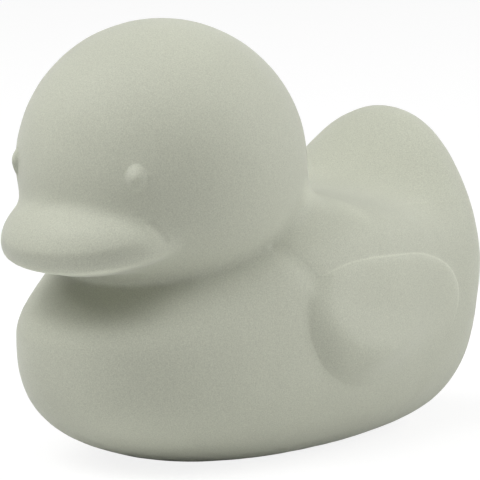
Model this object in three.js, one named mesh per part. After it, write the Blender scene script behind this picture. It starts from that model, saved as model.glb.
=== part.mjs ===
// A bath duck moulded in one piece of soft natural rubber, closed all round.
// It faces -Y and stands on Z = 0, its left side is on +X and the two halves mirror across X = 0.
// Each form of the duck is a signed distance, the forms are blended with fillets of a named
// radius, and the skin is a closed net of triangles drawn onto the blended surface.
import * as THREE from 'three';
import { mergeVertices } from 'three/addons/utils/BufferGeometryUtils.js';

// Body: a fat oval hull, measured at its widest line. Its crown is rounder over the breast and
// fuller over the back, and turns from one to the other between two shares of its half length.
const bodyLength = 95.3;
const bodyWidth = 58.1;
const bodyWaistHeight = 22.6;
const bodyMiddle = 21.2;
const breastCrown = 13.2;
const backCrown = 22.4;
const rumpCrown = 14;
const hullFullness = 2.27;
const breastFullness = 2.11;
const backFullness = 4.67;
const bellyFullness = 2.68;
const crownTurnStart = -0.8;
const crownTurnEnd = 0.2;
const soleCut = 1.6;
const soleEdgeRadius = 1.2;

// Head: a near sphere, whose centre is the zero of the lengthwise places. It meets the body in
// a tight crease at the throat and in a wide fillet at the nape.
const headWidth = 51.5;
const headHeight = 50.4;
const headLength = 51.7;
const headCentreHeight = 53.4;
const throatFillet = 2.6;
const napeFillet = 14;
const throatEndPlace = 4;
const napePlace = 20;

// Bill: broad and thick, with a soft groove round its front between the upper half and the lip.
const billWidth = 36.5;
const billReach = 31.6;
const billRootInset = 14.9;
const billHeight = 42.6;
const billUpperThickness = 9.4;
const billLowerThickness = 5.3;
const billDroop = 12.9;
const billFullness = 2.15;
const billLowerFullness = 3.5;
const billFillet = 3;
const mouthDrop = 3.1;
const mouthDepth = 1.3;
const mouthWidth = 2.6;

// Eyes: two low oval domes on the head.
const eyeBearing = 35.3;
const eyeRise = 0.5;
const eyeWidth = 4.8;
const eyeTall = 5.9;
const eyeStandOff = 1.05;
const eyeFillet = 0.6;

// Tail: a broad round fan that leans back from the rump.
const tailWidth = 44.5;
const tailHeight = 55.3;
const tailThickness = 22.2;
const tailPlace = 54.6;
const tailCentreHeight = 30;
const tailLean = 10.7;
const tailFillet = 16.4;

// Wings: a raised pad on each flank, with a thick rolled edge low at its front, a thin rim
// round its top and back, and no edge low at its back. Bearings are seen from the left side,
// counterclockwise from straight back. Starts and ends are shares of the pad's half size.
const wingLength = 42.6;
const wingDepth = 23.1;
const wingPlace = 29.1;
const wingHeight = 24.7;
const wingRimRise = 0.5;
const wingRimBreadth = 0.9;
const wingRollRise = 2.4;
const wingRollBreadth = 9;
const wingRollBearing = 230;
const wingRollStart = -0.6;
const wingRollEnd = 0.8;
const wingFadeBearing = 310;
const wingFadeStart = 0.2;
const wingFadeEnd = 0.9;
const wingEdgeSteepness = 2.2;

// Crease: a shallow valley on each shoulder, from under the head down to the wing's front corner.
const creaseTopPlace = 4.5;
const creaseTopHeight = 41.5;
const creaseFootPlace = 10.5;
const creaseFootHeight = 33.6;
const creaseDepth = 0.4;
const creaseBreadth = 3.6;

// Fineness of the skin: how many net cells lie along the body, and the facet error allowed.
const netDivisions = 25;
const facetError = 0.061;
const refinePasses = 4;
const shortestFacet = 0.7;

const degree = Math.PI / 180;

// Smooth union of two distances, with a fillet of the given radius in the corner between them.
function join(a, b, fillet) {
  const overlap = Math.max(fillet - Math.abs(a - b), 0) / fillet;
  return Math.min(a, b) - (overlap ** 3 * fillet) / 6;
}

// Smooth intersection, the rounded counterpart of join.
function keepBoth(a, b, radius) {
  return -join(-a, -b, radius);
}

// Distance to a superellipsoid, to first order: plan is the fullness seen from above and
// profile the fullness seen from the side, where 2 is an ellipse and more is fuller.
function superellipsoid(x, y, z, halfX, halfY, halfZ, plan, profile) {
  const tiny = 1e-6;
  const u = Math.abs(x) / halfX + tiny;
  const v = Math.abs(y) / halfY + tiny;
  const w = Math.abs(z) / halfZ + tiny;
  const level = u ** plan + v ** plan;
  const total = level ** (profile / plan) + w ** profile;
  const radius = total ** (1 / profile);
  const outer = total ** (1 / profile - 1);
  const inner = level ** (profile / plan - 1);
  const slopeX = (outer * inner * u ** (plan - 1)) / halfX;
  const slopeY = (outer * inner * v ** (plan - 1)) / halfY;
  const slopeZ = (outer * w ** (profile - 1)) / halfZ;
  return (radius - 1) / Math.hypot(slopeX, slopeY, slopeZ);
}

// The wing's outline from the side: an egg with a pointed front top corner.
// Its points are shares of half the wing's length and depth, from the middle of the pad.
const wingOutline = new THREE.CatmullRomCurve3(
  [
    [-0.82, 0.83],
    [-0.58, 0.95],
    [-0.3, 1],
    [0.1, 0.97],
    [0.5, 0.88],
    [0.86, 0.58],
    [1, 0.1],
    [0.88, -0.4],
    [0.57, -0.74],
    [0.1, -1],
    [-0.38, -0.98],
    [-0.76, -0.66],
    [-0.95, -0.18],
    [-1, 0.22],
    [-0.96, 0.58],
  ].map(([along, up]) => new THREE.Vector3((along * wingLength) / 2, (up * wingDepth) / 2, 0)),
  true,
  'centripetal',
).getPoints(90);

// Signed distance in the side view to the wing's outline, negative inside it.
function wingOutlineDistance(along, up) {
  let nearest = Infinity;
  let inside = false;
  for (let i = 1; i < wingOutline.length; i += 1) {
    const a = wingOutline[i - 1];
    const b = wingOutline[i];
    const edgeX = b.x - a.x;
    const edgeY = b.y - a.y;
    const share = THREE.MathUtils.clamp(
      ((along - a.x) * edgeX + (up - a.y) * edgeY) / (edgeX ** 2 + edgeY ** 2),
      0,
      1,
    );
    nearest = Math.min(nearest, Math.hypot(along - a.x - share * edgeX, up - a.y - share * edgeY));
    if (a.y > up !== b.y > up && along < a.x + (edgeX * (up - a.y)) / edgeY) {
      inside = !inside;
    }
  }
  return inside ? -nearest : nearest;
}

// How far a place seen from the side lies toward a bearing, as a share of the wing's half size.
function towardBearing(along, up, bearing) {
  const lengthwise = (2 * along * Math.cos(bearing * degree)) / wingLength;
  const upright = (2 * up * Math.sin(bearing * degree)) / wingDepth;
  return lengthwise + upright;
}

// How far the wing pad stands out from the flank at a place seen from the side.
function wingRise(y, z) {
  const along = y - wingPlace;
  const up = z - wingHeight;
  if (Math.abs(along) > wingLength || Math.abs(up) > wingDepth) {
    return 0;
  }
  const inward = Math.max(-wingOutlineDistance(along, up), 0);
  const towardRoll = towardBearing(along, up, wingRollBearing);
  const towardFade = towardBearing(along, up, wingFadeBearing);
  const roll = THREE.MathUtils.smoothstep(towardRoll, wingRollStart, wingRollEnd);
  const fade = THREE.MathUtils.smoothstep(towardFade, wingFadeStart, wingFadeEnd);
  const rise = THREE.MathUtils.lerp(wingRimRise, wingRollRise, roll) * (1 - fade);
  const breadth = THREE.MathUtils.lerp(wingRimBreadth, wingRollBreadth, roll);
  const share = Math.min(inward / breadth, 1);
  return rise * (1 - (1 - share) ** wingEdgeSteepness);
}

// How deep the shoulder crease lies at a place seen from the side.
function creaseSink(y, z) {
  const runY = creaseFootPlace - creaseTopPlace;
  const runZ = creaseFootHeight - creaseTopHeight;
  const fromTop = (y - creaseTopPlace) * runY + (z - creaseTopHeight) * runZ;
  const share = THREE.MathUtils.clamp(fromTop / (runY ** 2 + runZ ** 2), 0, 1);
  const away = Math.hypot(y - creaseTopPlace - share * runY, z - creaseTopHeight - share * runZ);
  const fromLine = (2 * away) / creaseBreadth;
  return creaseDepth * Math.exp(-(fromLine ** 2));
}

// The hull, whose crown rises and falls from breast to back to rump, with its wings and creases.
function body(x, y, z) {
  const along = y - bodyMiddle;
  const up = z - bodyWaistHeight;
  const share = THREE.MathUtils.clamp((2 * along) / bodyLength, -1.2, 1.2);
  const slope = (rumpCrown - breastCrown) / 2;
  const bow = (rumpCrown + breastCrown) / 2 - backCrown;
  const crown = backCrown + slope * share + bow * share ** 2;
  const height = up > 0 ? crown : bodyWaistHeight + soleCut;
  const towardBack = THREE.MathUtils.smoothstep(share, crownTurnStart, crownTurnEnd);
  const crownFullness = THREE.MathUtils.lerp(breastFullness, backFullness, towardBack);
  const fullness = up > 0 ? crownFullness : bellyFullness;
  const hull = superellipsoid(x, along, up, bodyWidth / 2, bodyLength / 2, height, hullFullness, fullness);
  return hull - wingRise(y, z) + creaseSink(y, z);
}

function head(x, y, z) {
  const up = z - headCentreHeight;
  return superellipsoid(x, y, up, headWidth / 2, headLength / 2, headHeight / 2, 2, 2);
}

function bill(x, y, z) {
  const reach = billReach - billRootInset;
  const along = y + billRootInset;
  const up = z - billHeight;
  const turnedAlong = along * Math.cos(billDroop * degree) + up * Math.sin(billDroop * degree);
  const turnedUp = up * Math.cos(billDroop * degree) - along * Math.sin(billDroop * degree);
  const thickness = turnedUp > 0 ? billUpperThickness : billLowerThickness;
  const profile = turnedUp > 0 ? 2 : billLowerFullness;
  const halfWidth = billWidth / 2;
  const solid = superellipsoid(x, turnedAlong, turnedUp, halfWidth, reach, thickness, billFullness, profile);
  const fromMouth = (2 * (turnedUp + mouthDrop)) / mouthWidth;
  return solid + mouthDepth * Math.exp(-(fromMouth ** 2));
}

// One low dome; side is 1 for the left eye and -1 for the right one.
function eye(x, y, z, side) {
  const sine = Math.sin(eyeBearing * degree) * side;
  const cosine = Math.cos(eyeBearing * degree);
  const across = x * cosine + y * sine;
  const outward = x * sine - y * cosine;
  const depth = (eyeWidth + eyeTall) / 4;
  const climb = Math.sqrt(Math.max(1 - (2 * eyeRise / headHeight) ** 2, 0));
  const seat = (headWidth / 2) * climb + eyeStandOff - depth;
  const up = z - headCentreHeight - eyeRise;
  return superellipsoid(across, outward - seat, up, eyeWidth / 2, depth, eyeTall / 2, 2, 2);
}

function tail(x, y, z) {
  const along = y - tailPlace;
  const up = z - tailCentreHeight;
  const outOfFan = along * Math.cos(tailLean * degree) - up * Math.sin(tailLean * degree);
  const upTheFan = along * Math.sin(tailLean * degree) + up * Math.cos(tailLean * degree);
  return superellipsoid(x, upTheFan, outOfFan, tailWidth / 2, tailHeight / 2, tailThickness / 2, 2, 2);
}

// Signed distance to the whole duck, cut level at the sole.
function duck(x, y, z) {
  let surface = join(body(x, y, z), tail(x, y, z), tailFillet);
  const towardNape = THREE.MathUtils.smoothstep(y, throatEndPlace, napePlace);
  const neckFillet = THREE.MathUtils.lerp(throatFillet, napeFillet, towardNape);
  surface = join(surface, head(x, y, z), neckFillet);
  surface = join(surface, bill(x, y, z), billFillet);
  surface = join(surface, eye(x, y, z, 1), eyeFillet);
  surface = join(surface, eye(x, y, z, -1), eyeFillet);
  return keepBoth(surface, -z, soleEdgeRadius);
}

// Steps a point along the slope of the distance until it lies on the surface.
function settle(point) {
  const nudge = 0.01;
  for (let step = 0; step < 6; step += 1) {
    const { x, y, z } = point;
    const value = duck(x, y, z);
    const slope = new THREE.Vector3(
      duck(x + nudge, y, z) - duck(x - nudge, y, z),
      duck(x, y + nudge, z) - duck(x, y - nudge, z),
      duck(x, y, z + nudge) - duck(x, y, z - nudge),
    ).divideScalar(2 * nudge);
    point.addScaledVector(slope, -value / Math.max(slope.lengthSq(), 0.25));
    if (Math.abs(value) < 1e-5) {
      break;
    }
  }
  return point;
}

// The first net: one vertex in each grid cell that the surface passes through, and one
// square between the four cells round each grid edge that it crosses.
function firstNet() {
  const cell = bodyLength / netDivisions;
  const margin = 2 * cell;
  const low = new THREE.Vector3(
    -bodyWidth / 2 - margin - wingRollRise,
    -Math.max(billReach, headLength / 2, bodyLength / 2 - bodyMiddle) - margin,
    -margin,
  );
  const high = new THREE.Vector3(
    -low.x,
    Math.max(bodyMiddle + bodyLength / 2, tailPlace + tailHeight / 2 + tailThickness / 2) + margin,
    Math.max(headCentreHeight + headHeight / 2, tailCentreHeight + tailHeight / 2) + margin,
  );
  const counts = high.clone().sub(low).divideScalar(cell).ceil();
  // an even number of cells across keeps the net the same on both sides
  counts.x += counts.x % 2;
  low.x = (-counts.x * cell) / 2;
  const strideY = counts.x + 1;
  const strideZ = strideY * (counts.y + 1);
  const at = (i, j, k) => i + j * strideY + k * strideZ;
  const values = new Float64Array(strideZ * (counts.z + 1));
  for (let k = 0; k <= counts.z; k += 1) {
    for (let j = 0; j <= counts.y; j += 1) {
      for (let i = 0; i <= counts.x; i += 1) {
        values[at(i, j, k)] = duck(low.x + i * cell, low.y + j * cell, low.z + k * cell);
      }
    }
  }
  const points = [];
  const vertexOf = new Map();
  const corner = (n) => [n & 1, (n >> 1) & 1, (n >> 2) & 1];
  for (let k = 0; k < counts.z; k += 1) {
    for (let j = 0; j < counts.y; j += 1) {
      for (let i = 0; i < counts.x; i += 1) {
        const middle = new THREE.Vector3();
        let crossings = 0;
        for (let n = 0; n < 8; n += 1) {
          for (const bit of [1, 2, 4]) {
            if (n & bit) {
              continue;
            }
            const a = corner(n);
            const b = corner(n | bit);
            const valueA = values[at(i + a[0], j + a[1], k + a[2])];
            const valueB = values[at(i + b[0], j + b[1], k + b[2])];
            if (valueA < 0 === valueB < 0) {
              continue;
            }
            const share = valueA / (valueA - valueB);
            middle.x += a[0] + (b[0] - a[0]) * share;
            middle.y += a[1] + (b[1] - a[1]) * share;
            middle.z += a[2] + (b[2] - a[2]) * share;
            crossings += 1;
          }
        }
        if (crossings > 0) {
          middle.divideScalar(crossings).add(new THREE.Vector3(i, j, k)).multiplyScalar(cell).add(low);
          vertexOf.set(at(i, j, k), points.length);
          points.push(settle(middle));
        }
      }
    }
  }
  const triangles = [];
  const square = (a, b, c, d, flip) => {
    const [p, q, r, s] = flip ? [d, c, b, a] : [a, b, c, d];
    if (points[p].distanceTo(points[r]) < points[q].distanceTo(points[s])) {
      triangles.push([p, q, r], [p, r, s]);
    } else {
      triangles.push([q, r, s], [q, s, p]);
    }
  };
  for (let k = 1; k < counts.z; k += 1) {
    for (let j = 1; j < counts.y; j += 1) {
      for (let i = 1; i < counts.x; i += 1) {
        const here = values[at(i, j, k)] < 0;
        const v = (di, dj, dk) => vertexOf.get(at(i - di, j - dj, k - dk));
        if (here !== values[at(i + 1, j, k)] < 0) {
          square(v(0, 0, 0), v(0, 1, 0), v(0, 1, 1), v(0, 0, 1), !here);
        }
        if (here !== values[at(i, j + 1, k)] < 0) {
          square(v(0, 0, 0), v(0, 0, 1), v(1, 0, 1), v(1, 0, 0), !here);
        }
        if (here !== values[at(i, j, k + 1)] < 0) {
          square(v(0, 0, 0), v(1, 0, 0), v(1, 1, 0), v(0, 1, 0), !here);
        }
      }
    }
  }
  return { points, triangles };
}

// Evens out the net: each vertex moves toward the middle of its neighbours, on the surface.
function relax({ points, triangles }, rounds) {
  for (let round = 0; round < rounds; round += 1) {
    const sums = points.map(() => new THREE.Vector3());
    const counts = new Float64Array(points.length);
    for (const triangle of triangles) {
      for (let n = 0; n < 3; n += 1) {
        sums[triangle[n]].add(points[triangle[(n + 1) % 3]]);
        counts[triangle[n]] += 1;
      }
    }
    for (let i = 0; i < points.length; i += 1) {
      points[i] = settle(sums[i].divideScalar(counts[i]).lerp(points[i], 0.5));
    }
  }
}

// Splits the edges whose middle lies off the surface by more than the facet error.
function refine({ points, triangles }) {
  const middleOf = new Map();
  const key = (a, b) => (a < b ? a * 1e6 + b : b * 1e6 + a);
  const middle = (a, b) => {
    const name = key(a, b);
    if (!middleOf.has(name)) {
      const half = points[a].clone().lerp(points[b], 0.5);
      const far = points[a].distanceTo(points[b]) > 2 * shortestFacet;
      const off = far && Math.abs(duck(half.x, half.y, half.z)) > facetError;
      if (off) {
        points.push(settle(half));
      }
      middleOf.set(name, off ? points.length - 1 : -1);
    }
    return middleOf.get(name);
  };
  const finer = [];
  for (const [a, b, c] of triangles) {
    const ab = middle(a, b);
    const bc = middle(b, c);
    const ca = middle(c, a);
    const split = [ab, bc, ca].filter((m) => m >= 0).length;
    if (split === 0) {
      finer.push([a, b, c]);
    } else if (split === 3) {
      finer.push([a, ab, ca], [ab, b, bc], [ca, bc, c], [ab, bc, ca]);
    } else {
      // turn the triangle until its first edge is split and its last one is whole
      let [p, q, r, pq, qr, rp] = [a, b, c, ab, bc, ca];
      while (pq < 0 || rp >= 0) {
        [p, q, r, pq, qr, rp] = [q, r, p, qr, rp, pq];
      }
      if (qr < 0) {
        finer.push([p, pq, r], [pq, q, r]);
      } else {
        finer.push([p, pq, r], [pq, q, qr], [pq, qr, r]);
      }
    }
  }
  triangles.splice(0, triangles.length, ...finer);
}

// The closed skin of the duck, its box centred on the origin and its sole on Z = 0.
function duckGeometry() {
  const net = firstNet();
  relax(net, 3);
  for (let pass = 0; pass < refinePasses; pass += 1) {
    refine(net);
    relax(net, 1);
  }
  const positions = new Float32Array(net.points.flatMap((point) => point.toArray()));
  const geometry = new THREE.BufferGeometry();
  geometry.setAttribute('position', new THREE.BufferAttribute(positions, 3));
  geometry.setIndex(net.triangles.flat());
  geometry.computeBoundingBox();
  const { min, max } = geometry.boundingBox;
  geometry.translate(-(min.x + max.x) / 2, -(min.y + max.y) / 2, -min.z);
  const closed = mergeVertices(geometry, 1e-4);
  closed.computeVertexNormals();
  return closed;
}

const paleSageRubber = new THREE.MeshStandardMaterial({ color: 0xbec1b2, roughness: 0.85, metalness: 0 });

const duckBody = new THREE.Mesh(duckGeometry(), paleSageRubber);
duckBody.name = 'duck_body';

const group = new THREE.Group();
group.add(duckBody);

export default group;
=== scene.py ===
"""A bath duck moulded in one piece of pale sage natural rubber, dressed and lit for its photograph.

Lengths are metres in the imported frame: the duck faces -Y, its left side is on +X and it stands on Z = 0.
"""

import logging
import math
from dataclasses import dataclass
from enum import Enum
from typing import Any

import bpy
import numpy as np
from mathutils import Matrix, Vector


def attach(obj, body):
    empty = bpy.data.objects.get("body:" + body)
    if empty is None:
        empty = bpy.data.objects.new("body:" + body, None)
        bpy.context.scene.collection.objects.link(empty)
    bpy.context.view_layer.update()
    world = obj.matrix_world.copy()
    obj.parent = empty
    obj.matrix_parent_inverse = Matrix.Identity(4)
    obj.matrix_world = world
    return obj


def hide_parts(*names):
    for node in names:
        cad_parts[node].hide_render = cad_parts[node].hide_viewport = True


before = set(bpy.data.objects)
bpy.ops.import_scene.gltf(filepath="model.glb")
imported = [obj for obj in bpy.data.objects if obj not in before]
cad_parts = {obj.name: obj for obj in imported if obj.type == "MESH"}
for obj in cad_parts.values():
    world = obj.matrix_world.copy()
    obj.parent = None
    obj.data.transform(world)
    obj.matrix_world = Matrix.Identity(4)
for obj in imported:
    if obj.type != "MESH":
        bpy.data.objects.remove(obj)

LOG = logging.getLogger("duck")
WING_EDGE = "wing_edge"
WING_KEEP = "wing_keep"
WING_PAD = "wing_pad"
HOLLOW = "hollow"
MILLIMETRE = 0.001
WHITE = (1.0, 1.0, 1.0, 1.0)
VECTOR = "NodeSocketVector"
VALUE = "NodeSocketFloat"
SCREEN_TOE_END = 0.04045
SCREEN_TOE_SLOPE = 12.92
SCREEN_SHIFT = 0.055
SCREEN_POWER = 2.4

Colour = tuple[float, float, float]
Point = tuple[float, float, float]
Socket = bpy.types.NodeSocket


class Rays(Enum):
    """The rays that see the white background in place of the light that falls on the duck."""

    CAMERA = "Is Camera Ray"
    GLOSSY = "Is Glossy Ray"
    TRANSMISSION = "Is Transmission Ray"


def linear(colour: Colour) -> tuple[float, float, float, float]:
    """Turns a colour as the eye reads it into the shader's linear light.

    Args:
        colour: Red, green and blue as shares of full, as they read on a screen.

    Returns:
        The linear colour with full alpha.
    """
    parts = []
    for part in colour:
        if part <= SCREEN_TOE_END:
            parts.append(part / SCREEN_TOE_SLOPE)
        else:
            parts.append(((part + SCREEN_SHIFT) / (1.0 + SCREEN_SHIFT)) ** SCREEN_POWER)
    return (parts[0], parts[1], parts[2], 1.0)


def add_node(tree: bpy.types.NodeTree, kind: str, **values: Any) -> bpy.types.Node:
    """Adds a node to a tree and sets its named properties.

    Args:
        tree: The node tree of a material, a world or a group.
        kind: The node's type name.
        values: Properties of the node, by name.

    Returns:
        The new node.
    """
    node = tree.nodes.new(kind)
    for name, value in values.items():
        setattr(node, name, value)
    return node


def join(
    tree: bpy.types.NodeTree,
    operation: str,
    first: Socket | float,
    second: Socket | float,
    clamp: bool = False,
) -> Socket:
    """Joins two values by a math node.

    Args:
        tree: The node tree of a material or a group.
        operation: The math node's operation.
        first: The first value's socket, or a number.
        second: The second value's socket, or a number.
        clamp: Whether the result is held between none and one.

    Returns:
        The result's socket.
    """
    node = add_node(tree, "ShaderNodeMath", operation=operation, use_clamp=clamp)
    for slot, value in enumerate((first, second)):
        if isinstance(value, float):
            node.inputs[slot].default_value = value
        else:
            tree.links.new(value, node.inputs[slot])
    return node.outputs[0]


def join_vectors(
    tree: bpy.types.NodeTree,
    operation: str,
    first: Socket,
    second: Socket | Point,
) -> bpy.types.Node:
    """Joins two vectors by a vector math node.

    Args:
        tree: The node tree of a group.
        operation: The vector math node's operation.
        first: The first vector's socket.
        second: The second vector's socket, or its three numbers.

    Returns:
        The node, with its Vector and Value outputs.
    """
    node = add_node(tree, "ShaderNodeVectorMath", operation=operation)
    tree.links.new(first, node.inputs[0])
    if isinstance(second, tuple):
        node.inputs[1].default_value = second
    else:
        tree.links.new(second, node.inputs[1])
    return node


def ramp(
    tree: bpy.types.NodeTree,
    source: Socket,
    begin: float,
    end: Socket | float,
    low: float = 0.0,
    high: float = 1.0,
    smooth: bool = False,
) -> Socket:
    """Turns a value that runs between two bounds into one that runs between two others.

    Args:
        tree: The node tree of a material or a group.
        source: The value's socket.
        begin: The value that gives low.
        end: The value that gives high, or its socket.
        low: The result at and beyond the beginning.
        high: The result at and beyond the end.
        smooth: Whether the result eases in and out.

    Returns:
        The result's socket.
    """
    node = add_node(tree, "ShaderNodeMapRange")
    if smooth:
        node.interpolation_type = "SMOOTHSTEP"
    for name, value in (("From Min", begin), ("From Max", end), ("To Min", low), ("To Max", high)):
        if isinstance(value, float):
            node.inputs[name].default_value = value
        else:
            tree.links.new(value, node.inputs[name])
    tree.links.new(source, node.inputs["Value"])
    return node.outputs["Result"]


def attribute(tree: bpy.types.NodeTree, name: str) -> Socket:
    """Reads one of the skin's own values in a material."""
    return add_node(tree, "ShaderNodeAttribute", attribute_name=name).outputs["Fac"]


def start_group(
    name: str,
    vectors: tuple[str, ...],
    values: tuple[str, ...],
    results: tuple[str, ...],
) -> tuple[bpy.types.NodeTree, bpy.types.Node, bpy.types.Node]:
    """Starts a shader group with its sockets.

    Args:
        name: The group's name.
        vectors: The names of its vector inputs.
        values: The names of its value inputs.
        results: The names of its value outputs.

    Returns:
        The group, its input node and its output node.
    """
    group = bpy.data.node_groups.new(name, "ShaderNodeTree")
    for names, way, kind in (
        (vectors, "INPUT", VECTOR),
        (values, "INPUT", VALUE),
        (results, "OUTPUT", VALUE),
    ):
        for socket in names:
            group.interface.new_socket(socket, in_out=way, socket_type=kind)
    return group, add_node(group, "NodeGroupInput"), add_node(group, "NodeGroupOutput")


def use_group(tree: bpy.types.NodeTree, group: bpy.types.NodeTree, place: Socket) -> bpy.types.Node:
    """Puts a group into a material and gives it the object's coordinates."""
    node = add_node(tree, "ShaderNodeGroup", node_tree=group)
    tree.links.new(place, node.inputs["Vector"])
    return node


def outward(bearing: float, climb: float) -> Vector:
    """Gives the direction that points away from the duck at a compass bearing and climb.

    Args:
        bearing: Degrees round the duck from straight ahead of it toward its left.
        climb: Degrees above level.

    Returns:
        A vector of length one.
    """
    turn = math.radians(bearing)
    rise = math.radians(climb)
    return Vector((math.sin(turn) * math.cos(rise), -math.cos(turn) * math.cos(rise), math.sin(rise)))


def deselect_all() -> None:
    """Clears the selection, which loading the frame leaves full."""
    bpy.ops.object.select_all(action="DESELECT")


def make_active(piece: bpy.types.Object) -> None:
    """Selects one object alone and makes it the active one."""
    deselect_all()
    piece.select_set(True)
    bpy.context.view_layer.objects.active = piece


@dataclass(frozen=True)
class SideLine:
    """A straight mark on both sides of the duck, placed along and up in the side view.

    A depth over none sinks the skin and one below none raises it; a shade over none darkens the colour
    with painted shade and one below none pales it with a painted highlight.
    """

    name: str
    start: tuple[float, float]
    end: tuple[float, float]
    width: float
    depth: float
    shade: float


@dataclass(frozen=True)
class EyeDome:
    """The relief of the two eyes, given on the duck's left one."""

    middle: Point = (0.0155, -0.0413, 0.0539)
    bearing: float = 35.3
    half_width: float = 0.00215
    half_height: float = 0.00275
    roundness: float = 1.2
    upper_share: float = 0.6
    rise: float = 0.0012

    def group(self) -> bpy.types.NodeTree:
        """Builds the node group of one dome on each side of the head, fuller at its top.

        Returns:
            A shader group that takes a Vector and gives the dome's Height as a share of its rise.
        """
        group, entry, leave = start_group("eye_dome", ("Vector",), (), ("Height",))
        parts = add_node(group, "ShaderNodeSeparateXYZ")
        near = add_node(group, "ShaderNodeCombineXYZ")
        group.links.new(entry.outputs["Vector"], parts.inputs[0])
        group.links.new(join(group, "ABSOLUTE", parts.outputs["X"], 0.0), near.inputs["X"])
        group.links.new(parts.outputs["Y"], near.inputs["Y"])
        group.links.new(parts.outputs["Z"], near.inputs["Z"])
        away = join_vectors(group, "SUBTRACT", near.outputs[0], self.middle).outputs["Vector"]
        turn = math.radians(self.bearing)
        sideways = (math.cos(turn) / self.half_width, math.sin(turn) / self.half_width, 0.0)
        across = join_vectors(group, "DOT_PRODUCT", away, sideways).outputs["Value"]
        skyward = (0.0, 0.0, 1.0 / self.half_height)
        upward = join_vectors(group, "DOT_PRODUCT", away, skyward).outputs["Value"]
        wide = join(group, "POWER", across, 2.0)
        tall = join(group, "POWER", upward, 2.0)
        left = join(group, "SUBTRACT", 1.0, join(group, "ADD", wide, tall), clamp=True)
        dome = join(group, "POWER", left, self.roundness)
        lean = ramp(group, upward, -1.0, 1.0, 1.0 - self.upper_share, 1.0)
        group.links.new(join(group, "MULTIPLY", dome, lean), leave.inputs["Height"])
        return group


@dataclass(frozen=True)
class BillGroove:
    """The groove round the bill's front and the painted highlight on the lip below it, along a plane that
    droops.
    """

    root: Point = (0.0, -0.0343, 0.0431)
    droop: float = 16.5
    half_breadth: float = 0.0026
    depth: float = 0.0005
    lip_drop: float = 0.0015
    lip_half_breadth: float = 0.0019
    lip_highlight: float = 0.2
    back_end: float = -0.0385
    front_start: float = -0.0450

    def group(self) -> bpy.types.NodeTree:
        """Builds the node group of the groove and the lip.

        Returns:
            A shader group that takes a Vector and gives a Mask that is one along the groove and
            a Lip that is one along the rolled edge below it, where the rubber paints a highlight.
        """
        group, entry, leave = start_group("bill_groove", ("Vector",), (), ("Mask", "Lip"))
        parts = add_node(group, "ShaderNodeSeparateXYZ")
        group.links.new(entry.outputs["Vector"], parts.inputs[0])
        away = join_vectors(group, "SUBTRACT", entry.outputs["Vector"], self.root).outputs["Vector"]
        turn = math.radians(self.droop)
        upward = (0.0, -math.sin(turn), math.cos(turn))
        rise = join_vectors(group, "DOT_PRODUCT", away, upward).outputs["Value"]
        front = ramp(group, parts.outputs["Y"], self.back_end, self.front_start, smooth=True)
        for drop, breadth, result in (
            (0.0, self.half_breadth, "Mask"),
            (self.lip_drop, self.lip_half_breadth, "Lip"),
        ):
            off = join(group, "ABSOLUTE", join(group, "ADD", rise, drop), 0.0)
            fall = ramp(group, off, breadth, 0.0, smooth=True)
            group.links.new(join(group, "MULTIPLY", fall, front), leave.inputs[result])
        return group


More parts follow.
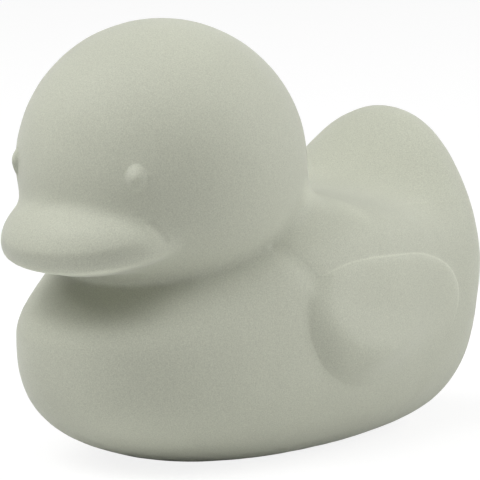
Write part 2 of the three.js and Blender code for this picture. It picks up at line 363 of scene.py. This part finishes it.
@dataclass(frozen=True)
class NaturalRubber:
    """Matte natural rubber in one colour, with a powdery sheen, grain, the duck's fine moulded relief, and
    painted shade and painted highlights in its folds and on its edges.
    """

    colour: Colour = (0.748, 0.758, 0.694)
    cloud_size: float = 0.016
    cloud_strength: float = 0.02
    noise_detail: float = 3.0
    noise_low: float = 0.25
    noise_high: float = 0.75
    # Painted shade in the skin's hollows and a painted highlight on its convex edges.
    hollow_full: float = 220.0
    hollow_shade: float = 0.07
    edge_full: float = -300.0
    edge_highlight: float = 0.015
    clear_start: float = 0.001
    clear_end: float = 0.003
    speckle_size: float = 0.00022
    speckle_strength: float = 0.15
    pit_spacing: float = 0.0016
    pit_reach: float = 0.09
    pit_shade: float = 0.12
    roughness: float = 0.62
    specular: float = 0.35
    grain_size: float = 0.00028
    grain_height: float = 0.000012
    rim_height: float = 0.00006
    rim_breadth: float = 0.0003
    # Painted highlight on the line along the wing's rim and on the pad inside it.
    rim_highlight: float = 0.13
    pad_highlight: float = 0.05
    pad_height: float = 0.0009
    pad_reach: float = 0.009
    eyes: EyeDome = EyeDome()
    groove: BillGroove = BillGroove()
    sheen: float = 0.25
    sheen_roughness: float = 0.45
    lines: tuple[SideLine, ...] = (
        # wing_valley, wing_crease and mouth_corner sink the skin and darken it with painted shade;
        # tail_foot raises a faint seam and pales it with a painted highlight; the ridge beside the head is
        # a painted highlight only, and the shelf between that ridge and the tail is painted shade only.
        SideLine("wing_valley", (-0.0123, 0.0404), (-0.0085, 0.0343), 0.0008, 0.00002, 0.02),
        SideLine("wing_crease", (-0.0088, 0.0343), (-0.0056, 0.0342), 0.0003, 0.00003, 0.04),
        SideLine("mouth_corner", (-0.0386, 0.0459), (-0.0367, 0.0432), 0.0012, 0.00016, 0.05),
        SideLine("tail_foot", (0.0195, 0.0426), (0.0400, 0.0420), 0.0002, -0.00002, -0.02),
        SideLine("head_ridge", (-0.0040, 0.0482), (0.0080, 0.0443), 0.0036, 0.0, -0.15),
        SideLine("tail_shelf", (0.0165, 0.0446), (0.0215, 0.0450), 0.0050, 0.0, 0.06),
    )

    def grain_group(self) -> bpy.types.NodeTree:
        """Builds the node group of the moulded surface's fine grain and speckle.

        Returns:
            A shader group that takes a Vector and the sizes of the grain, speckle and clouds,
            and gives the grain's Height and the Speckle and Cloud values.
        """
        sizes = ("Grain Size", "Speckle Size", "Cloud Size")
        results = ("Height", "Speckle", "Cloud")
        group, entry, leave = start_group("moulded_grain", ("Vector",), sizes, results)
        for size, result in zip(sizes, results):
            noise = add_node(group, "ShaderNodeTexNoise")
            noise.inputs["Detail"].default_value = self.noise_detail
            scale = join(group, "DIVIDE", 1.0, entry.outputs[size])
            group.links.new(entry.outputs["Vector"], noise.inputs["Vector"])
            group.links.new(scale, noise.inputs["Scale"])
            group.links.new(noise.outputs["Fac"], leave.inputs[result])
        return group

    def line_group(self) -> bpy.types.NodeTree:
        """Builds the node group that masks a straight line in the side view.

        Returns:
            A shader group that takes a Vector, the line's Start and End and its Width, and gives
            a Mask that is one on the line.
        """
        vectors = ("Vector", "Start", "End")
        group, entry, leave = start_group("side_line", vectors, ("Width",), ("Mask",))
        side_view = (0.0, 1.0, 1.0)
        start = entry.outputs["Start"]
        flat = join_vectors(group, "MULTIPLY", entry.outputs["Vector"], side_view).outputs["Vector"]
        run = join_vectors(group, "SUBTRACT", entry.outputs["End"], start).outputs["Vector"]
        away = join_vectors(group, "SUBTRACT", flat, start).outputs["Vector"]
        along = join_vectors(group, "DOT_PRODUCT", away, run).outputs["Value"]
        whole = join_vectors(group, "DOT_PRODUCT", run, run).outputs["Value"]
        share = join(group, "DIVIDE", along, whole, clamp=True)
        reached = add_node(group, "ShaderNodeVectorMath", operation="SCALE")
        group.links.new(run, reached.inputs[0])
        group.links.new(share, reached.inputs["Scale"])
        gap = join_vectors(group, "DISTANCE", away, reached.outputs["Vector"]).outputs["Value"]
        mask = ramp(group, gap, 0.0, entry.outputs["Width"], 1.0, 0.0, smooth=True)
        group.links.new(mask, leave.inputs["Mask"])
        return group

    def tone(self, tree: bpy.types.NodeTree, source: Socket, strength: float) -> Socket:
        """Turns a noise value into a factor round one.

        Args:
            tree: The material's node tree.
            source: The noise value's socket.
            strength: How far the factor swings either way.

        Returns:
            The factor's socket.
        """
        return ramp(tree, source, self.noise_low, self.noise_high, 1.0 - strength, 1.0 + strength)

    def rim(self, tree: bpy.types.NodeTree) -> tuple[Socket, Socket]:
        """Makes the wing's rim from the skin's own values.

        Args:
            tree: The material's node tree.

        Returns:
            The sockets of the step at the rim, from none to one, and of the factor that pales
            the line along it and the pad inside it with a painted highlight.
        """
        edge = attribute(tree, WING_EDGE)
        keep = attribute(tree, WING_KEEP)
        step = ramp(tree, edge, self.rim_breadth, -self.rim_breadth, smooth=True)
        raised = join(tree, "MULTIPLY", step, keep)
        near = ramp(tree, edge, -self.pad_reach, 0.0)
        # Painted highlight on the pad just inside the rim and on the line along the rim.
        pad_light = join(tree, "MULTIPLY", join(tree, "MULTIPLY", near, raised), self.pad_highlight)
        off = join(tree, "ABSOLUTE", edge, 0.0)
        line = ramp(tree, off, self.rim_breadth, 0.0, smooth=True)
        rim_line_light = join(tree, "MULTIPLY", join(tree, "MULTIPLY", line, keep), self.rim_highlight)
        return raised, join(tree, "ADD", join(tree, "ADD", pad_light, rim_line_light), 1.0)

    def pad(self, tree: bpy.types.NodeTree) -> Socket:
        """Makes the share of the pad's swell, which grows from the wing's outline inward.

        Args:
            tree: The material's node tree.

        Returns:
            The share's socket, from none outside the outline to one well inside it.
        """
        left = ramp(tree, attribute(tree, WING_EDGE), -self.pad_reach, 0.0)
        swell = join(tree, "SUBTRACT", 1.0, join(tree, "POWER", left, 2.0))
        return join(tree, "MULTIPLY", swell, attribute(tree, WING_PAD))

    def hollow_shade_and_edge_light(self, tree: bpy.types.NodeTree) -> Socket:
        """Makes the factor that darkens hollows and creases with painted shade and pales convex edges with
        a painted highlight.

        Args:
            tree: The material's node tree.

        Returns:
            The factor's socket, which stays at one on the wings.
        """
        clear = ramp(tree, attribute(tree, WING_EDGE), self.clear_start, self.clear_end, smooth=True)
        bend = join(tree, "MULTIPLY", attribute(tree, HOLLOW), clear)
        # Painted shade in hollows and creases, and a painted highlight on convex edges, both from the
        # skin's bend.
        hollow_shaded = ramp(tree, bend, 0.0, self.hollow_full, 1.0, 1.0 - self.hollow_shade)
        edge_lit = ramp(tree, bend, self.edge_full, 0.0, 1.0 + self.edge_highlight, 1.0)
        return join(tree, "MULTIPLY", hollow_shaded, edge_lit)

    def pit_shade_spots(self, tree: bpy.types.NodeTree, place: Socket) -> Socket:
        """Makes the factor that darkens a few tiny spots, painted shade for pit marks that the relief does
        not have.

        Args:
            tree: The material's node tree.
            place: The socket of the object's coordinates.

        Returns:
            The factor's socket.
        """
        # Painted shade: tiny dark spots with no relief under them.
        cells = add_node(tree, "ShaderNodeTexVoronoi")
        cells.inputs["Scale"].default_value = 1.0 / self.pit_spacing
        tree.links.new(place, cells.inputs["Vector"])
        return ramp(tree, cells.outputs["Distance"], 0.0, self.pit_reach, 1.0 - self.pit_shade, 1.0)

    def surface(self, tree: bpy.types.NodeTree, place: Socket) -> tuple[Socket, Socket]:
        """Makes the tone and relief of the grain, the wings, the eyes and the bill, with painted shade in
        hollows and pit marks and painted highlights on edges, the wing and the lip.

        Args:
            tree: The material's node tree.
            place: The socket of the object's coordinates.

        Returns:
            The sockets of the colour's factor and of the relief's height in metres.
        """
        grain = use_group(tree, self.grain_group(), place)
        grain.inputs["Grain Size"].default_value = self.grain_size
        grain.inputs["Speckle Size"].default_value = self.speckle_size
        grain.inputs["Cloud Size"].default_value = self.cloud_size
        eye = use_group(tree, self.eyes.group(), place)
        groove = use_group(tree, self.groove.group(), place)
        # pale carries the painted highlight on the wing's rim line and pad.
        raised, pale = self.rim(tree)
        # Painted highlight along the bill's lip.
        lip = join(tree, "MULTIPLY", groove.outputs["Lip"], self.groove.lip_highlight)
        # Speckle and clouds are the rubber's own random tone; the rest adds painted shade and painted
        # highlight.
        factor = self.tone(tree, grain.outputs["Speckle"], self.speckle_strength)
        for share in (
            self.tone(tree, grain.outputs["Cloud"], self.cloud_strength),
            self.pit_shade_spots(tree, place),
            self.hollow_shade_and_edge_light(tree),
            join(tree, "ADD", lip, 1.0),
            pale,
        ):
            factor = join(tree, "MULTIPLY", factor, share)
        height = join(tree, "MULTIPLY", grain.outputs["Height"], self.grain_height)
        for share, rise in (
            (self.pad(tree), self.pad_height),
            (eye.outputs["Height"], self.eyes.rise),
            (groove.outputs["Mask"], -self.groove.depth),
            (raised, self.rim_height),
        ):
            height = join(tree, "ADD", height, join(tree, "MULTIPLY", share, rise))
        return factor, height

    def mark(
        self,
        tree: bpy.types.NodeTree,
        place: Socket,
        factor: Socket,
        height: Socket,
    ) -> tuple[Socket, Socket]:
        """Draws the straight marks into the relief, and into the tone as painted shade and painted
        highlight.

        Args:
            tree: The material's node tree.
            place: The socket of the object's coordinates.
            factor: The colour's factor so far.
            height: The relief's height so far.

        Returns:
            The sockets of the factor and the height with the marks in them.
        """
        group = self.line_group()
        for side_line in self.lines:
            line = use_group(tree, group, place)
            line.label = side_line.name
            line.inputs["Start"].default_value = (0.0, *side_line.start)
            line.inputs["End"].default_value = (0.0, *side_line.end)
            line.inputs["Width"].default_value = side_line.width
            mask = line.outputs["Mask"]
            height = join(tree, "SUBTRACT", height, join(tree, "MULTIPLY", mask, side_line.depth))
            # The mark's shade is painted shade, or a painted highlight where it is below none.
            shade = join(tree, "SUBTRACT", 1.0, join(tree, "MULTIPLY", mask, side_line.shade))
            factor = join(tree, "MULTIPLY", factor, shade)
        return factor, height

    def material(self) -> bpy.types.Material:
        """Builds the rubber's material.

        Returns:
            The material, ready to assign.
        """
        made = bpy.data.materials.new("sage_rubber")
        made.use_nodes = True
        tree = made.node_tree
        shader = tree.nodes["Principled BSDF"]
        shader.inputs["Roughness"].default_value = self.roughness
        shader.inputs["Specular IOR Level"].default_value = self.specular
        shader.inputs["Sheen Weight"].default_value = self.sheen
        shader.inputs["Sheen Roughness"].default_value = self.sheen_roughness
        place = add_node(tree, "ShaderNodeTexCoord").outputs["Object"]
        factor, height = self.mark(tree, place, *self.surface(tree, place))
        tint = add_node(tree, "ShaderNodeMix", data_type="RGBA", blend_type="MULTIPLY")
        tint.inputs["Factor"].default_value = 1.0
        colour_in = [socket for socket in tint.inputs if socket.type == "RGBA"]
        colour_out = [socket for socket in tint.outputs if socket.type == "RGBA"]
        colour_in[0].default_value = linear(self.colour)
        tree.links.new(factor, colour_in[1])
        tree.links.new(colour_out[0], shader.inputs["Base Color"])
        bump = add_node(tree, "ShaderNodeBump")
        bump.inputs["Strength"].default_value = 1.0
        bump.inputs["Distance"].default_value = 1.0
        tree.links.new(height, bump.inputs["Height"])
        tree.links.new(bump.outputs["Normal"], shader.inputs["Normal"])
        return made


@dataclass(frozen=True)
class WingOutline:
    """The wing's outline from the side: an egg with a pointed front top corner."""

    middle: tuple[float, float] = (0.00967, 0.0247)
    length: float = 0.0426
    depth: float = 0.0231
    steps: int = 6
    fade_bearing: float = 310.0
    fade_start: float = 0.4
    fade_end: float = 1.0
    pad_bearing: float = 245.0
    pad_start: float = -0.2
    pad_end: float = 0.5
    pad_fade_start: float = 0.1
    pad_fade_end: float = 0.95
    roll_bearing: float = 220.0
    roll_start: float = -0.5
    roll_end: float = 0.4
    roll_loss: float = 0.9
    corners: tuple[tuple[float, float], ...] = (
        (-0.82, 0.83),
        (-0.58, 0.95),
        (-0.3, 1.0),
        (0.1, 0.97),
        (0.5, 0.88),
        (0.86, 0.58),
        (1.0, 0.1),
        (0.88, -0.4),
        (0.57, -0.74),
        (0.1, -1.0),
        (-0.38, -0.98),
        (-0.76, -0.66),
        (-0.95, -0.18),
        (-1.0, 0.22),
        (-0.96, 0.58),
    )

    def points(self) -> np.ndarray:
        """Rounds the corners into a closed smooth line, a Catmull-Rom spline.

        Returns:
            The line's points, along and up, one row each.
        """
        half = np.array([self.length, self.depth]) / 2
        corners = np.array(self.corners) * half + np.array(self.middle)
        before = np.roll(corners, 1, axis=0)
        after = np.roll(corners, -1, axis=0)
        beyond = np.roll(corners, -2, axis=0)
        rows = []
        for step in range(self.steps):
            share = step / self.steps
            bend = 2 * before - 5 * corners + 4 * after - beyond
            twist = 3 * (corners - after) + beyond - before
            run = after - before
            rows.append(corners + (run * share + bend * share**2 + twist * share**3) / 2)
        return np.stack(rows, axis=1).reshape(-1, 2)

    def distances(self, places: np.ndarray) -> np.ndarray:
        """Measures how far places in the side view lie outside the outline.

        Args:
            places: Along and up, one row each.

        Returns:
            One distance for each place, negative inside the wing.
        """
        starts = self.points()
        ends = np.roll(starts, -1, axis=0)
        nearest = np.full(len(places), np.inf)
        inside = np.zeros(len(places), dtype=bool)
        for start, end in zip(starts, ends):
            run = end - start
            away = places - start
            share = np.clip(away @ run / (run @ run), 0.0, 1.0)
            gap = np.hypot(*(away - share[:, None] * run).T)
            nearest = np.minimum(nearest, gap)
            crosses = (start[1] > places[:, 1]) != (end[1] > places[:, 1])
            rise = run[1] if run[1] else 1.0
            at = start[0] + run[0] * (places[:, 1] - start[1]) / rise
            inside ^= crosses & (places[:, 0] < at)
        return np.where(inside, -nearest, nearest)

    def toward(self, places: np.ndarray, bearing: float, start: float, end: float) -> np.ndarray:
        """Tells how far places in the side view lie toward a bearing, from none to one.

        Args:
            places: Along and up, one row each.
            bearing: Degrees from straight back, turning up and over.
            start: The share of the wing's half size where the result leaves none.
            end: The share where it reaches one.

        Returns:
            One share for each place, smooth at both ends.
        """
        turn = math.radians(bearing)
        run = np.array([2 * math.cos(turn) / self.length, 2 * math.sin(turn) / self.depth])
        share = np.clip(((places - np.array(self.middle)) @ run - start) / (end - start), 0.0, 1.0)
        return share**2 * (3.0 - 2.0 * share)

    def pad(self, places: np.ndarray) -> np.ndarray:
        """Tells how much of the pad's swell there is at places in the side view.

        Args:
            places: Along and up, one row each.

        Returns:
            One share for each place: most low at the front and none at the top or low at the back.
        """
        fade = self.toward(places, self.fade_bearing, self.pad_fade_start, self.pad_fade_end)
        return (1.0 - fade) * self.toward(places, self.pad_bearing, self.pad_start, self.pad_end)

    def keep(self, places: np.ndarray) -> np.ndarray:
        """Tells how thin and clear the rim is at places in the side view.

        Args:
            places: Along and up, one row each.

        Returns:
            One at the top and back, little at the rolled front and none low at the back.
        """
        fade = self.toward(places, self.fade_bearing, self.fade_start, self.fade_end)
        roll = self.toward(places, self.roll_bearing, self.roll_start, self.roll_end)
        return (1.0 - fade) * (1.0 - self.roll_loss * roll)


@dataclass
class MouldedSkin:
    """The duck's one skin, smoothed from the merged copy of its solid and eased in its folds."""

    node: str = "duck_body"
    name: str = "duck_skin"
    body: str = "root"
    slot: str = "rubber"
    merge_distance: float = 0.01 * MILLIMETRE
    quad_angle: float = 60.0
    smooth_levels: int = 2
    hollow_rounds: int = 40
    fold_bend: float = 50.0
    fold_rounds: int = 45
    fold_share: float = 0.5
    wing: WingOutline = WingOutline()

    def copy_node(self) -> bpy.types.Object:
        """Copies the solid's mesh into a new object and merges its loose triangles.

        Returns:
            The new object, at the origin.
        """
        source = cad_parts[self.node]
        mesh = source.data.copy()
        mesh.name = self.name
        mesh.materials.clear()
        piece = bpy.data.objects.new(self.name, mesh)
        bpy.context.scene.collection.objects.link(piece)
        make_active(piece)
        bpy.ops.object.mode_set(mode="EDIT")
        bpy.ops.mesh.select_all(action="SELECT")
        bpy.ops.mesh.remove_doubles(threshold=self.merge_distance)
        limit = math.radians(self.quad_angle)
        bpy.ops.mesh.tris_convert_to_quads(face_threshold=limit, shape_threshold=limit)
        bpy.ops.object.mode_set(mode="OBJECT")
        return piece

    def smooth(self, piece: bpy.types.Object) -> None:
        """Rounds the facets away with a subdivision surface.

        Args:
            piece: The merged copy of the solid.
        """
        make_active(piece)
        rounding = piece.modifiers.new("rounding", "SUBSURF")
        rounding.levels = self.smooth_levels
        rounding.render_levels = self.smooth_levels
        bpy.ops.object.modifier_apply(modifier=rounding.name)
        bpy.ops.object.shade_smooth()

    def places(self, piece: bpy.types.Object) -> np.ndarray:
        """Reads where the skin's vertices are, one row each."""
        flat = np.empty(3 * len(piece.data.vertices), dtype=np.float32)
        piece.data.vertices.foreach_get("co", flat)
        return flat.reshape(-1, 3).astype(float)

    def ease_folds(self, piece: bpy.types.Object) -> None:
        """Evens out the skin in its folds, where the solid's facets leave small knots.

        Args:
            piece: The smoothed skin.
        """
        bend = self.hollows(piece.data, self.places(piece))
        folds = piece.vertex_groups.new(name="folds")
        folds.add(np.flatnonzero(bend > self.fold_bend).tolist(), 1.0, "REPLACE")
        make_active(piece)
        easing = piece.modifiers.new("easing", "SMOOTH")
        easing.vertex_group = folds.name
        easing.factor = self.fold_share
        easing.iterations = self.fold_rounds
        bpy.ops.object.modifier_apply(modifier=easing.name)
        piece.vertex_groups.clear()

    def hollows(self, mesh: bpy.types.Mesh, places: np.ndarray) -> np.ndarray:
        """Measures how the skin bends at each vertex, evened out over its neighbours.

        Args:
            mesh: The smoothed skin's mesh.
            places: Its vertices, one row each.

        Returns:
            One bend for each vertex, as one over its radius in metres: over none in a hollow.
        """
        count = len(places)
        flat = np.empty(3 * count, dtype=np.float32)
        mesh.vertices.foreach_get("normal", flat)
        normals = flat.reshape(count, 3).astype(float)
        ends = np.empty(2 * len(mesh.edges), dtype=np.int32)
        mesh.edges.foreach_get("vertices", ends)
        ends = ends.reshape(-1, 2)
        here = np.concatenate([ends[:, 0], ends[:, 1]])
        there = np.concatenate([ends[:, 1], ends[:, 0]])
        run = places[there] - places[here]
        rise = 2 * (run * normals[here]).sum(axis=1) / (run**2).sum(axis=1)
        valence = np.bincount(here, minlength=count)
        bend = np.bincount(here, weights=rise, minlength=count) / valence
        for _ in range(self.hollow_rounds):
            beside = np.bincount(here, weights=bend[there], minlength=count) / valence
            bend = (bend + beside) / 2
        return bend

    def write_attributes(self, piece: bpy.types.Object) -> None:
        """Writes the values that the rubber reads on each vertex of the skin.

        Args:
            piece: The smoothed skin.
        """
        places = self.places(piece)
        for name, values in (
            (WING_EDGE, self.wing.distances(places[:, 1:])),
            (WING_KEEP, self.wing.keep(places[:, 1:])),
            (WING_PAD, self.wing.pad(places[:, 1:])),
            (HOLLOW, self.hollows(piece.data, places)),
        ):
            layer = piece.data.attributes.new(name, "FLOAT", "POINT")
            layer.data.foreach_set("value", values.astype(np.float32))
            LOG.info("%s from %.4f to %.4f", name, values.min(), values.max())

    def build(self, finish: NaturalRubber) -> bpy.types.Object:
        """Makes and dresses the skin and puts it in the frame.

        Args:
            finish: The rubber that it is moulded in.

        Returns:
            The finished piece.
        """
        piece = self.copy_node()
        self.smooth(piece)
        self.ease_folds(piece)
        self.write_attributes(piece)
        piece.data.materials.append(finish.material())
        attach(piece, self.body)
        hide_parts(self.node)
        return piece


@dataclass(frozen=True)
class Lamp:
    """A square soft box that hangs round the duck; bearing 0 faces the duck and 90 is on its left."""

    name: str
    bearing: float
    climb: float
    power: float
    distance: float = 1.0
    side: float = 0.7

    def hang(self, aim: Point) -> bpy.types.Object:
        """Hangs the lamp and turns it toward a point.

        Args:
            aim: The point that the lamp faces.

        Returns:
            The lamp's object.
        """
        data = bpy.data.lights.new(self.name, "AREA")
        data.shape = "SQUARE"
        data.size = self.side
        data.energy = self.power
        place = outward(self.bearing, self.climb) * self.distance
        lamp = bpy.data.objects.new(self.name, data)
        lamp.location = place
        lamp.rotation_euler = (Vector(aim) - place).to_track_quat("-Z", "Y").to_euler()
        bpy.context.scene.collection.objects.link(lamp)
        return lamp


@dataclass
class Studio:
    """A pale floor, a white surround and soft boxes."""

    floor_half: float = 3.0
    floor_tone: float = 0.9
    seen_floor_tone: float = 0.2
    floor_lift: float = 0.86
    surround_light: float = 0.04
    aim: Point = (0.0, 0.0, 0.04)
    lamps: tuple[Lamp, ...] = (
        Lamp("right_front_box", 315.0, 50.0, 4.75),
        Lamp("left_back_box", 135.0, 28.0, 4.6),
        Lamp("front_top_box", 0.0, 70.0, 3.1),
        Lamp("left_top_box", 90.0, 70.0, 1.8),
        Lamp("front_box", 0.0, 50.0, 0.75),
        Lamp("left_low_box", 135.0, 8.0, 0.65),
    )

    def lay_floor(self) -> bpy.types.Object:
        """Lays the pale floor, which the camera sees a little brighter than it lights the duck.

        Returns:
            The floor's object.
        """
        deselect_all()
        bpy.ops.mesh.primitive_plane_add(size=2 * self.floor_half, location=(0.0, 0.0, 0.0))
        floor = bpy.context.active_object
        floor.name = "floor"
        paint = bpy.data.materials.new("pale_floor")
        paint.use_nodes = True
        tree = paint.node_tree
        shader = tree.nodes["Principled BSDF"]
        shader.inputs["Roughness"].default_value = 1.0
        shader.inputs["Specular IOR Level"].default_value = 0.0
        shader.inputs["Emission Color"].default_value = WHITE
        seen = add_node(tree, "ShaderNodeLightPath").outputs[Rays.CAMERA.value]
        lift = join(tree, "MULTIPLY", seen, self.floor_lift)
        tone = ramp(tree, seen, 0.0, 1.0, self.floor_tone, self.seen_floor_tone)
        tree.links.new(lift, shader.inputs["Emission Strength"])
        tree.links.new(tone, shader.inputs["Base Color"])
        floor.data.materials.append(paint)
        return floor

    def surround(self) -> None:
        """Makes the world a white background to look at and a softer even light to stand in."""
        world = bpy.data.worlds.new("surround")
        bpy.context.scene.world = world
        world.use_nodes = True
        tree = world.node_tree
        tree.nodes.clear()
        light = add_node(tree, "ShaderNodeBackground")
        light.inputs["Color"].default_value = WHITE
        light.inputs["Strength"].default_value = self.surround_light
        white = add_node(tree, "ShaderNodeBackground")
        white.inputs["Color"].default_value = WHITE
        white.inputs["Strength"].default_value = 1.0
        path = add_node(tree, "ShaderNodeLightPath")
        seen = path.outputs[Rays.CAMERA.value]
        for kind in (Rays.GLOSSY, Rays.TRANSMISSION):
            seen = join(tree, "MAXIMUM", seen, path.outputs[kind.value])
        choice = add_node(tree, "ShaderNodeMixShader")
        end = add_node(tree, "ShaderNodeOutputWorld")
        tree.links.new(seen, choice.inputs["Fac"])
        tree.links.new(light.outputs[0], choice.inputs[1])
        tree.links.new(white.outputs[0], choice.inputs[2])
        tree.links.new(choice.outputs[0], end.inputs["Surface"])

    def build(self) -> None:
        """Lays the floor, sets the surround and hangs the lamps."""
        self.lay_floor()
        self.surround()
        for lamp in self.lamps:
            lamp.hang(self.aim)


@dataclass
class PhotoCamera:
    """The camera that took the photograph, given from the middle of the duck's head."""

    picture_side: float = 480.0
    bearing: float = 43.81
    climb: float = 9.55
    distance: float = 0.861
    pixels_per_metre: float = 5650.0
    head_centre: Point = (0.0, -0.01943, 0.0534)
    head_pixel: tuple[float, float] = (161.3, 160.2)
    sensor: float = 36.0
    nearest: float = 0.05
    farthest: float = 20.0

    def build(self) -> bpy.types.Object:
        """Places the camera so that the head's middle falls on its pixel.

        Returns:
            The camera's object.
        """
        back = outward(self.bearing, self.climb)
        right = outward(self.bearing + 90.0, 0.0)
        upward = back.cross(right)
        middle = self.picture_side / 2
        across = (middle - self.head_pixel[0]) / self.pixels_per_metre
        down = (middle - self.head_pixel[1]) / self.pixels_per_metre
        aim = Vector(self.head_centre) + right * across - upward * down
        data = bpy.data.cameras.new("photo_camera")
        data.sensor_width = self.sensor
        data.lens = self.sensor * self.distance * self.pixels_per_metre / self.picture_side
        data.clip_start = self.nearest
        data.clip_end = self.farthest
        camera = bpy.data.objects.new("photo_camera", data)
        camera.location = aim + back * self.distance
        camera.rotation_euler = back.to_track_quat("Z", "Y").to_euler()
        bpy.context.scene.collection.objects.link(camera)
        bpy.context.scene.camera = camera
        return camera


def main() -> None:
    """Builds the camera, the studio and the duck's skin in order and reports each."""
    logging.basicConfig(level=logging.INFO, format="%(name)s: %(message)s")
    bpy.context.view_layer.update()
    bpy.context.scene.view_settings.view_transform = "Standard"
    camera = PhotoCamera().build()
    reach = camera.location.length
    LOG.info("camera %.3f m from the origin, with a lens of %.0f mm", reach, camera.data.lens)
    Studio().build()
    LOG.info("studio laid")
    skin = MouldedSkin().build(NaturalRubber())
    LOG.info("%s has %d faces", skin.name, len(skin.data.polygons))


if __name__ == "__main__":
    main()
